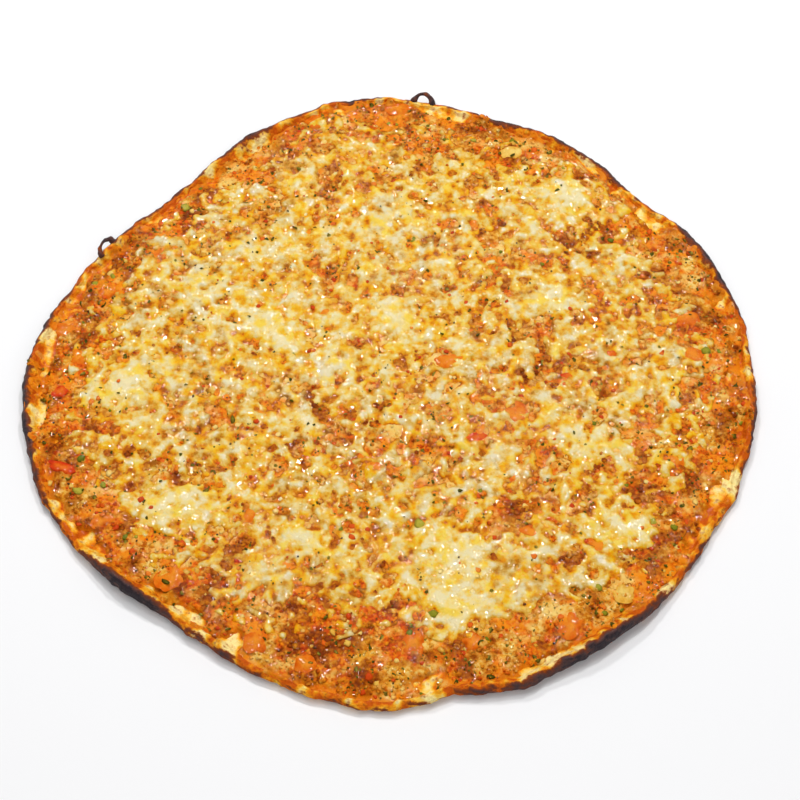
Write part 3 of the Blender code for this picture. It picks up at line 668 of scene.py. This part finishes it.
def vegetable_outline(number, length, width, turn_deg, sides, grow=0.0):
    """The outline of a cut piece seen from above: a rounded box whose eight corners are knocked in unevenly,
    with a smooth run from one corner to the next."""
    draw = np.random.default_rng(100 + number)
    knocked = draw.uniform(0, 1, VEGETABLE_SIDES)
    place = (np.arange(sides) + 0.5) * VEGETABLE_SIDES / sides - 0.5
    corner = np.floor(place).astype(int)
    ease = eased(place - corner)
    here = knocked[corner % VEGETABLE_SIDES] * (1 - ease) + knocked[(corner + 1) % VEGETABLE_SIDES] * ease
    angle = (np.arange(sides) + 0.5) * 2 * np.pi / sides
    c = np.cos(angle)
    s = np.sin(angle)
    out = (np.abs(c) ** 3 + np.abs(s) ** 3) ** (-1 / 3) * (1 - 0.16 * here)
    x = (length / 2 * out + grow) * c
    y = (width / 2 * out + grow) * s
    return turned(x, y, -math.radians(turn_deg))


def make_vegetable(number, name, kind, x, y, length, width, turn):
    """A soft cooked piece: rings of its outline from a flat base, out to full width at mid-height and in over
    a domed, wrinkled top. `deep` runs from 0 at the skin's edge to 1 in the middle of the top."""
    sides = 40
    across, up = vegetable_outline(number, length, width, turn, sides)
    t = np.linspace(0, 1, 16)[:, None]
    low = t / 0.3
    high = (t - 0.3) / 0.7
    share = np.where(low < 1, 0.84 + 0.16 * np.sin(low * np.pi / 2), np.cos(high * np.pi / 2))
    share = np.maximum(share, 0.02)
    rise = np.where(low < 1, 0.5 * low, 0.5 + 0.5 * (1 - share**3.5))
    corner = np.arange(sides) * 2 * np.pi / sides
    ragged = 1 + 0.2 * lumps(*polar(2.2, corner), 1.1, 280 + number)
    px = x + share * (across * ragged)
    py = y + share * (up * ragged)
    wrinkle = layered(px, py, (0.5, 3.4, 200 + number), (0.28, 1.5, 240 + number))
    top = np.clip((t - 0.3) / 0.4, 0, 1)
    pz = VEGETABLE_BOTTOM + rise * VEGETABLE_THICKNESS[kind] + wrinkle * top - 0.75 * top
    points, faces = tube(px, py, pz, [[x, y, VEGETABLE_BOTTOM], [x, y, pz[-1].mean()]])
    deep = np.concatenate([np.repeat(1 - share.ravel(), sides), [0, 1]])
    return new_piece(name, points, faces, {"deep": deep})


def make_burnt_loops():
    """Loops of burnt crust on the edge: a rough round section carried along half an oval that leans out."""
    all_points = []
    all_faces = []
    steps = 28
    sides = 12
    for n, (angle_deg, span, rise, lean_deg, thick) in enumerate(BURNT_CURLS):
        angle = math.radians(angle_deg)
        outwards = np.array((math.cos(angle), math.sin(angle), 0))
        along = np.array((-outwards[1], outwards[0], 0))
        lean = math.radians(lean_deg)
        up = outwards * math.sin(lean) + np.array((0, 0, math.cos(lean)))
        foot = outwards * (edge_radius(angle) - 1.6)
        foot[2] = rim_crest(angle) - 1.1
        turn = np.linspace(0, np.pi, steps)[:, None]
        middle = foot - along * (span / 2 * np.cos(turn)) + up * (rise * np.sin(turn))
        forward = along * (span / 2 * np.sin(turn)) + up * (rise * np.cos(turn))
        forward = forward / np.linalg.norm(forward, axis=1, keepdims=True)
        side = np.cross(along, up)
        normal = np.cross(side, forward)
        around = np.arange(sides) * 2 * np.pi / sides
        c = np.cos(around)
        s = np.sin(around)
        rough = 1 + 0.35 * lumps(c * 1.2 + 3 * turn, s + 0 * turn, 0.8, 90 + n)
        rough = rough + 0.3 * lumps(5 * turn + 0 * c, 3 + 0 * turn + 0 * c, 1.7, 93 + n)
        rough = rough * (0.8 + 0.7 * np.cos(turn) ** 2)
        ring = side * c[None, :, None] + normal[:, None] * s[None, :, None]
        points = middle[:, None] + ring * (rough * thick / 2)[..., None]
        points, faces = tube(*np.moveaxis(points, 2, 0), middle[[0, -1]])
        # The section runs the other way round than the rings of other pieces, so its faces are turned over.
        all_faces.append(faces[:, ::-1] + sum(map(len, all_points)))
        all_points.append(points)
    points = np.concatenate(all_points)
    char = 0.75 + 0.3 * lumps(points[:, 0], points[:, 1], 1.5, 95)
    return new_piece("burnt_crust_loops", points, np.concatenate(all_faces), {"char": char, "pale": 0 * char})


def random_places(count, seed, keep):
    """Points spread evenly over the bread, kept where keep(x, y, cheese over mince, mince cover) says so."""
    draw = np.random.default_rng(seed)
    angle = draw.uniform(0, 2 * np.pi, count * TRIES)
    out = (edge_radius(angle) - 1.5) * np.sqrt(draw.uniform(0, 1, count * TRIES))
    x, y = polar(out, angle)
    height, over, cover = top_surface(x, y)
    kept = np.flatnonzero(keep(x, y, over, cover, draw))[:count]
    return x[kept], y[kept], height[kept], draw


def lump_template(level):
    """A round lump's points and triangles: an octahedron, its faces split `level` times and pushed out."""
    corners = ((1, 0, 0), (-1, 0, 0), (0, 1, 0), (0, -1, 0), (0, 0, 1), (0, 0, -1))
    faces = [(0, 2, 4), (2, 1, 4), (1, 3, 4), (3, 0, 4), (2, 0, 5), (1, 2, 5), (3, 1, 5), (0, 3, 5)]
    points = [Vector(corner) for corner in corners]
    for _ in range(level):
        middles = {}
        finer = []
        for face in faces:
            mids = []
            for k in range(3):
                pair = tuple(sorted((face[k], face[(k + 1) % 3])))
                if pair not in middles:
                    middles[pair] = len(points)
                    points.append((points[pair[0]] + points[pair[1]]).normalized())
                mids.append(middles[pair])
            a, b, c = face
            finer += [(a, mids[0], mids[2]), (b, mids[1], mids[0]), (c, mids[2], mids[1]), tuple(mids)]
        faces = finer
    return np.array([tuple(p) for p in points]), np.array(faces)


def leaf_template():
    """A scrap of leaf: an eight-sided oval rim, curled up at its ends, with a fan above and one below."""
    sides = 8
    angle = np.arange(sides) * 2 * np.pi / sides
    rim = np.stack([np.cos(angle), 0.6 * np.sin(angle), 0.25 * np.cos(2 * angle)], axis=1)
    points, faces = tube(*rim.T[:, None], [[0, 0, 0.1], [0, 0, -0.06]])
    return points, faces[:, ::-1]


def scatter(name, template, places, size, flat, sink, tilt):
    """Copies of a template joined in one mesh. Each copy is pushed in and out by up to 0.3 point by point,
    scaled, tipped by up to `tilt` degrees, turned by any angle and set into the surface by `sink` of its
    height. `shade` is each copy's own value from 0 to 1."""
    x, y, height, draw = places
    points, faces = template
    count = len(x)
    shape = points[None] * (1 + draw.uniform(-0.3, 0.3, (count, len(points), 1)))
    scale = size[0] + (size[1] - size[0]) * draw.uniform(0, 1, count) ** 1.6
    stretch = [draw.uniform(0.8, 1.25, count), draw.uniform(0.75, 1.1, count), np.full(count, flat)]
    shape = shape * (scale / 2)[:, None, None] * np.stack(stretch, axis=1)[:, None, :]
    tip = np.radians(draw.uniform(-tilt, tilt, count))[:, None]
    turn = draw.uniform(0, 2 * np.pi, count)[:, None]
    px, py, pz = np.moveaxis(shape, 2, 0)
    px, pz = turned(px, pz, tip)
    px, py = turned(px, py, -turn)
    lift = (scale / 2 * flat * (1 - 2 * sink))[:, None]
    placed = np.stack([px + x[:, None], py + y[:, None], pz + height[:, None] + lift], axis=2)
    all_faces = faces[None] + (np.arange(count) * len(points))[:, None, None]
    shade = np.repeat(draw.uniform(0, 1, count), len(points))
    return new_piece(name, placed.reshape(-1, 3), all_faces.reshape(-1, 3), {"shade": shade})


def linear(hex_colour):
    """An sRGB hex colour as the linear colour that a shader takes."""
    parts = [int(hex_colour[i : i + 2], 16) / 255 for i in (1, 3, 5)]
    return tuple(c / 12.92 if c <= 0.04045 else ((c + 0.055) / 1.055) ** 2.4 for c in parts) + (1.0,)


def add_node(tree, kind, inputs, ramp=(), out=0, **options):
    """Adds a node with its options and ramp, fills its inputs with numbers, hex colours or other nodes'
    outputs, and gives back the output that is asked for."""
    node = tree.nodes.new("ShaderNode" + kind)
    for option, value in options.items():
        setattr(node, option, value)
    for place, value in inputs.items():
        if isinstance(value, bpy.types.NodeSocket):
            tree.links.new(value, node.inputs[place])
        else:
            node.inputs[place].default_value = linear(value) if isinstance(value, str) else value
    for n, (place, colour) in enumerate(ramp):
        elements = node.color_ramp.elements
        element = elements[n] if n < 2 else elements.new(place)
        element.position = place
        element.color = linear(colour)
    return node.outputs[out]


def new_material(name, cells=(), read=(), **values):
    """A material whose shader has the constant values given. Gives back the material, what adds nodes to it,
    its shader, Object coordinates, a noise for each cell's size in mm, detail and roughness, and each
    attribute that is read."""
    material = bpy.data.materials.new(name)
    material.use_nodes = True
    shader = material.node_tree.nodes["Principled BSDF"]
    add = functools.partial(add_node, material.node_tree)
    for socket, value in values.items():
        shader.inputs[socket.replace("_", " ")].default_value = value
    place = add("TexCoord", {}, out="Object")
    fields = []
    for size, detail, rough in cells:
        noise = {"Vector": place, "Scale": PER_MM / size, "Detail": detail, "Roughness": rough}
        fields.append(add("TexNoise", noise))
    for attribute in read:
        fields.append(add("Attribute", {}, out="Fac", attribute_name=attribute))
    return material, add, shader, place, *fields


def oil_film(add, shader, place, ripple, steepness):
    """Oil over crumbs and cheese: a smooth film whose normals lean from upright by noise, `ripple` mm wide,
    so that each ripple gives one small glint. The noise is distorted, or glints would stand in rows."""
    waves = {"Vector": place, "Scale": PER_MM / ripple, "Detail": 0.0, "Distortion": 0.8}
    noise = add("TexNoise", waves, out="Color")
    leaning = {0: noise, 1: (steepness, steepness, 0), 2: (-steepness / 2, -steepness / 2, 1)}
    leaning = add("VectorMath", leaning, operation="MULTIPLY_ADD")
    upright = add("VectorMath", {0: leaning}, operation="NORMALIZE")
    shader.id_data.links.new(upright, shader.inputs["Coat Normal"])
    shader.inputs["Coat Roughness"].default_value = OIL_ROUGHNESS


def colour_and_relief(add, shader, colour, height, depth):
    """Gives the shader its colour, and a relief `depth` mm deep."""
    shader.id_data.links.new(colour, shader.inputs["Base Color"])
    relief = add("Bump", {"Strength": 1.0, "Distance": depth * MM, "Height": height})
    shader.id_data.links.new(relief, shader.inputs["Normal"])


def baked_dough():
    """Wheat dough baked on stone: orange where sauce soaked in, golden, cream on its bubbles, and at the
    edge burnt through red-brown and purple to black. Its spots are 3.6 mm wide like toasted blisters, and
    its pores 1.7 mm, coarser than real ones, which wouldn't show."""
    crust = {"Roughness": 0.6, "Specular_IOR_Level": 0.1, "Coat_Weight": 0.08, "Coat_Roughness": 0.2}
    cells = ((1.7, 5.0, 0.5), (3.6, 3.0, 0.5))
    made = new_material("baked_wheat_dough", cells, ("pale", "char"), **crust)
    material, add, shader, _, fine, spots, pale, char = made
    soaked = add("Math", {0: fine, 1: 0.7, 2: pale}, operation="MULTIPLY_ADD")
    soaked = add("Math", {0: spots, 1: 1.4, 2: soaked}, operation="MULTIPLY_ADD")
    soaked = add("Math", {0: soaked, 1: 1.03}, operation="SUBTRACT")
    baked = ((0.02, "#C85606"), (0.25, "#E8800C"), (0.45, "#F6A81E"), (0.66, "#FACA50"), (0.92, "#FCE698"))
    golden = add("ValToRGB", {"Fac": soaked}, baked)
    charred = add("Math", {0: fine, 1: 0.7, 2: char}, operation="MULTIPLY_ADD")
    charred = add("Math", {0: spots, 1: 1.1, 2: charred}, operation="MULTIPLY_ADD")
    burning = add("Math", {0: charred, 1: 0.98}, operation="SUBTRACT")
    tan_to_brown = ((0.0, "#DC7610"), (0.14, "#A84E0E"), (0.32, "#803E1E"))
    brown_to_black = ((0.52, "#683C30"), (0.78, "#523C3A"), (1.0, "#352B30"))
    burnt = add("ValToRGB", {"Fac": burning}, tan_to_brown + brown_to_black)
    share = add("MapRange", {"Value": charred, "From Min": 0.94, "From Max": 1.2})
    colour = add("Mix", {0: share, 6: golden, 7: burnt}, out=2, data_type="RGBA")
    crusty = add("Math", {0: spots, 1: 1.2, 2: fine}, operation="MULTIPLY_ADD")
    colour_and_relief(add, shader, colour, crusty, 1.1)
    return material


def cooked_mince(name, attribute):
    """Minced lamb baked in tomato and pepper sauce: tan and brown crumbs in orange oil, golden where cheese
    has run thin over them, orange where the layer runs out, and wet all over. Its grain is 1.5 mm wide, as
    meat comes from a fine mincer, its blotches 4 mm, its golden films 9 mm and its oily patches 11 mm."""
    cells = ((1.5, 3.0, 0.6), (4, 3.0, 0.5), (11, 1.0, 0.5), (9, 2.5, 0.5))
    made = new_material(name, cells, (attribute, "thin"), Specular_IOR_Level=0.08, Coat_Weight=1.0)
    material, add, shader, place, grain, blotch, patch, film, tone, thin = made
    # For the mince layer, the tone read here holds painted light on high crumbs and painted shade in the
    # hollows, as well as the mince's own tone.
    both = add("Math", {0: tone, 1: 0.4, 2: grain}, operation="MULTIPLY_ADD")
    both = add("Math", {0: patch, 1: 0.8, 2: both}, operation="MULTIPLY_ADD")
    both = add("Math", {0: both, 1: 0.4}, operation="SUBTRACT")
    browned = ((0.42, "#7C3000"), (0.60, "#A64E02"), (0.78, "#CA7408"), (0.98, "#E6A436"))
    meat = add("ValToRGB", {"Fac": both}, browned)
    oil = add("ValToRGB", {"Fac": both}, ((0.42, "#B43600"), (0.62, "#DE5C02"), (0.86, "#F08C12")))
    creamed = ((0.45, "#CE760A"), (0.65, "#E8A22C"), (0.85, "#F0C86C"))
    golden = add("ValToRGB", {"Fac": both}, creamed)
    soaked = add("Math", {0: patch, 1: blotch}, operation="ADD")
    share = add("MapRange", {"Value": soaked, "From Min": 0.92, "From Max": 1.08})
    colour = add("Mix", {0: share, 6: meat, 7: oil}, out=2, data_type="RGBA")
    filmed = add("MapRange", {"Value": film, "From Min": 0.50, "From Max": 0.66})
    colour = add("Mix", {0: filmed, 6: colour, 7: golden}, out=2, data_type="RGBA")
    stained = add("Math", {0: thin, 1: 0.8}, operation="MULTIPLY")
    colour = add("Mix", {0: stained, 6: colour, 7: "#E07C0C"}, out=2, data_type="RGBA")
    colour_and_relief(add, shader, colour, grain, 0.45)
    oil_film(add, shader, place, ripple=3.3, steepness=2.7)
    return material


def melted_cheese():
    """Low-moisture cheese melted under the grill: cream where it is thick, khaki where whey has gathered,
    yellow with oil in patches 6 mm wide, and a see-through amber film where it is thin over the mince. Its
    shreds mottle it 3.4 mm wide, as they are cut, and its curd 1.3 mm."""
    wet = {"Specular_IOR_Level": 0.08, "Coat_Weight": 1.0, "Subsurface_Weight": 0.08, "Subsurface_Scale": MM}
    cells = ((1.3, 3.0, 0.6), (3.4, 2.5, 0.5), (6, 3.0, 0.5))
    made = new_material("grilled_melted_cheese", cells, ("thick", "grey"), **wet)
    material, add, shader, place, fine, spots, broad, thick, grey = made
    mottled = add("Math", {0: fine, 1: 1.3, 2: thick}, operation="MULTIPLY_ADD")
    mottled = add("Math", {0: spots, 1: 2.4, 2: mottled}, operation="MULTIPLY_ADD")
    body = add("MapRange", {"Value": mottled, "From Min": 1.42, "From Max": 3.15})
    thin_cream = ((0.0, "#B05804"), (0.12, "#CC7A04"), (0.24, "#DE9A10"))
    full_cream = ((0.40, "#E8B636"), (0.58, "#E6C468"), (0.82, "#EADAA6"))
    whey = ((0.0, "#925A08"), (0.2, "#B47E1E"), (0.42, "#D0A44E"), (0.62, "#DABF80"), (0.85, "#E2D4AA"))
    butter = ((0.0, "#B05200"), (0.14, "#D07200"), (0.30, "#E49000"), (0.52, "#ECAE0A"), (0.85, "#F0CC4C"))
    creamy = add("ValToRGB", {"Fac": body}, thin_cream + full_cream)
    watery = add("ValToRGB", {"Fac": body}, whey)
    oily = add("ValToRGB", {"Fac": body}, butter)
    share = add("MapRange", {"Value": broad, "From Min": 0.42, "From Max": 0.60})
    colour = add("Mix", {0: grey, 6: creamy, 7: watery}, out=2, data_type="RGBA")
    colour = add("Mix", {0: share, 6: colour, 7: oily}, out=2, data_type="RGBA")
    colour_and_relief(add, shader, colour, fine, 0.4)
    oil_film(add, shader, place, ripple=2.6, steepness=1.6)
    return material


def soft_vegetable(name, skin, flesh, pale):
    """A piece cut raw and baked soft: glossy skin round the edge, and paler watery flesh in the middle,
    mottled 3 mm wide by its pulp and 1.2 mm by its fibres."""
    cells = ((3, 3.0, 0.5), (1.2, 4.0, 0.5))
    made = new_material(name, cells, ("deep",), Specular_IOR_Level=0.05, Coat_Weight=0.6)
    material, add, shader, place, spots, fine, deep = made
    mixed = add("Math", {0: spots, 1: 2.2, 2: deep}, operation="MULTIPLY_ADD")
    mixed = add("Math", {0: mixed, 1: 0.38}, operation="MULTIPLY")
    colour = add("ValToRGB", {"Fac": mixed}, ((0.25, skin), (0.45, flesh), (0.75, pale)))
    colour_and_relief(add, shader, colour, fine, 0.4)
    oil_film(add, shader, place, ripple=3.0, steepness=1.9)
    return material


def crumb_material(name, colours, coat, specular=0.1):
    """Small bits that take their colour from each one's own shade, from the first colour to the last, mottled
    by noise 0.9 mm wide, the finest that shows."""
    cells = ((0.9, 3.0, 0.5),)
    made = new_material(name, cells, ("shade",), Specular_IOR_Level=specular, Coat_Weight=coat)
    material, add, shader, _, fine, shade = made
    both = add("Math", {0: fine, 1: 0.5, 2: shade}, operation="MULTIPLY_ADD")
    both = add("Math", {0: both, 1: 0.7}, operation="MULTIPLY")
    ramp = [(0.7 * (0.15 + 1.1 * n / (len(colours) - 1)), colour) for n, colour in enumerate(colours)]
    colour_and_relief(add, shader, add("ValToRGB", {"Fac": both}, ramp), fine, 0.3)
    return material


def make_scene():
    """The camera, the floor and the lights."""
    elevation = math.radians(CAMERA_ELEVATION)
    back = Vector((0, -math.cos(elevation), math.sin(elevation)))
    camera = new_object("camera", bpy.data.cameras.new("camera"))
    camera.data.sensor_width = SENSOR_WIDTH
    camera.data.lens = LENS
    camera.location = Vector(CAMERA_TARGET) * MM + back * (CAMERA_DISTANCE * MM)
    camera.rotation_euler = back.to_track_quat("Z", "Y").to_euler()
    bpy.context.scene.camera = camera
    plane = bpy.data.meshes.new("floor")
    corners = [(x * FLOOR_HALF, y * FLOOR_HALF, 0) for x, y in ((-1, -1), (1, -1), (1, 1), (-1, 1))]
    plane.from_pydata(corners, [], [(0, 1, 2, 3)])
    paper, _, shader, _ = new_material("white_paper_floor", Roughness=0.9)
    shader.inputs["Base Color"].default_value = linear("#F4F4F5")
    plane.materials.append(paper)
    new_object("floor", plane)
    for name, place, size, power in LIGHTS:
        lamp = bpy.data.lights.new(name, "AREA")
        lamp.size = size
        lamp.energy = power
        light = new_object(name, lamp)
        light.visible_glossy = size < GLINT_LAMP
        light.location = place
        light.rotation_euler = Vector(place).to_track_quat("Z", "Y").to_euler()
    world = bpy.data.worlds.new("studio")
    world.use_nodes = True
    world.node_tree.nodes["Background"].inputs["Color"].default_value = (1, 1, 1, 1)
    world.node_tree.nodes["Background"].inputs["Strength"].default_value = SKY_STRENGTH
    bpy.context.scene.world = world
    world.cycles_visibility.glossy = False  # or the oil would veil all colours with white
    bpy.context.scene.view_settings.view_transform = "Standard"


def make_vegetables():
    """Every vegetable in its node's place, each kind with its own material."""
    materials = {
        "tomato": soft_vegetable("baked_tomato_flesh", "#C24802", "#DC6606", "#EA8A1C"),
        "red_pepper": soft_vegetable("baked_red_pepper", "#B42204", "#D23A06", "#E46A12"),
        "onion": soft_vegetable("baked_onion", "#C8801C", "#E0A436", "#ECC868"),
    }
    made = {}
    for number, (kind, *place) in enumerate(placed_vegetables()):
        made[kind] = made.get(kind, 0) + 1
        node = f"{kind}_{made[kind]:02d}"
        piece = make_vegetable(number, f"baked_{node}", kind, *place)
        dress(piece, materials[kind], kind, node)


def on_mince(x, y, over, cover, draw):
    """On mince that lies open, and not on a vegetable."""
    return (over < 0.1) & (cover > 0.3) & (veg_share(x, y) < 0.05)


def mostly_mince(x, y, over, cover, draw):
    """In loose clusters on open mince, and now and then on cheese."""
    open_mince = (over < 0.05) & (veg_share(x, y) < 0.1)
    clustered = lumps(x, y, 11, 91) > draw.uniform(-0.9, 0.4, len(x))
    return (cover > 0.3) & clustered & (open_mince | (draw.uniform(0, 1, len(x)) < 0.12))


def outer_mince(x, y, over, cover, draw):
    """On open mince, away from the middle."""
    return on_mince(x, y, over, cover, draw) & (np.hypot(x, y) > 60)


def on_cheese(x, y, over, cover, draw):
    """On cheese that stands above the mince."""
    return over > 0.15


def make_loose_bits():
    """Crumbs of mince, herb scraps, and bits of pepper, onion and cheese, each kind one joined piece."""
    meat = cooked_mince("crumbled_mince", "shade")
    # Dried in the oven: olive, brown where scorched, straw at the tips, and hardly any gloss.
    herb = crumb_material("chopped_parsley", ("#40400C", "#5A5610", "#7C701A", "#A08A30"), 0.15)
    # Moist skin and flesh: a little gloss, brick red to orange.
    red = crumb_material("pepper_bits", ("#B83208", "#D0480A", "#E06412", "#E88A2C"), 0.3)
    # The same of a green pepper, faded to olive by the heat.
    green = crumb_material("green_pepper_bits", ("#5C6410", "#868418", "#B2A436"), 0.3)
    # Soft and glassy, stained yellow by the oil.
    pale = crumb_material("onion_bits", ("#D08C20", "#E4B044", "#EFCC74"), 0.4)
    # Dry, matt and dark brown.
    dark = crumb_material("burnt_specks", ("#3A2412", "#553210", "#744414"), 0.0, specular=0.5)
    # Curd that hasn't run: pale yellow with a soft gloss.
    curd = crumb_material("loose_cheese_crumbs", ("#EAB84C", "#EFC868", "#F2D484", "#F4DE9C"), 0.3)
    lump = lump_template(1)
    leaf = leaf_template()
    # Name, slot, material, template, count, seed, where, sizes, flatness, how far sunk and tilt.
    kinds = (
        ("mince_crumbs", "mince", meat, lump_template(2), 1000, 301, on_mince, (1.3, 2.9), 0.45, 0.62, 20),
        ("fine_mince_crumbs", "mince", meat, lump, 4200, 302, on_mince, (0.8, 2.0), 0.45, 0.5, 20),
        ("parsley_scraps", "mince", herb, leaf, 1900, 303, mostly_mince, (1.1, 3.8), 0.55, 0.58, 25),
        ("pepper_bits", "red_pepper", red, lump, 420, 304, mostly_mince, (0.9, 3.0), 0.32, 0.55, 20),
        ("green_pepper_bits", "mince", green, lump, 46, 308, outer_mince, (1.8, 4.4), 0.35, 0.5, 20),
        ("onion_bits", "onion", pale, lump, 110, 305, on_mince, (1.2, 3.4), 0.3, 0.5, 20),
        ("burnt_specks", "mince", dark, lump_template(0), 300, 306, mostly_mince, (0.5, 1.3), 0.7, 0.3, 20),
        ("cheese_crumbs", "cheese", curd, lump, 160, 307, on_cheese, (0.8, 2.2), 0.3, 0.6, 8),
    )
    for name, slot, material, template, count, seed, keep, *form in kinds:
        dress(scatter(name, template, random_places(count, seed, keep), *form), material, slot)


make_scene()
dress(make_flatbread(), baked_dough(), "bread", "flatbread")
dress(make_mince(), cooked_mince("oven_cooked_mince", "tone"), "mince", "mince_topping")
dress(make_cheese(), melted_cheese(), "cheese", "melted_cheese")
dress(make_burnt_loops(), bpy.data.materials["baked_wheat_dough"], "bread")
make_vegetables()
make_loose_bits()
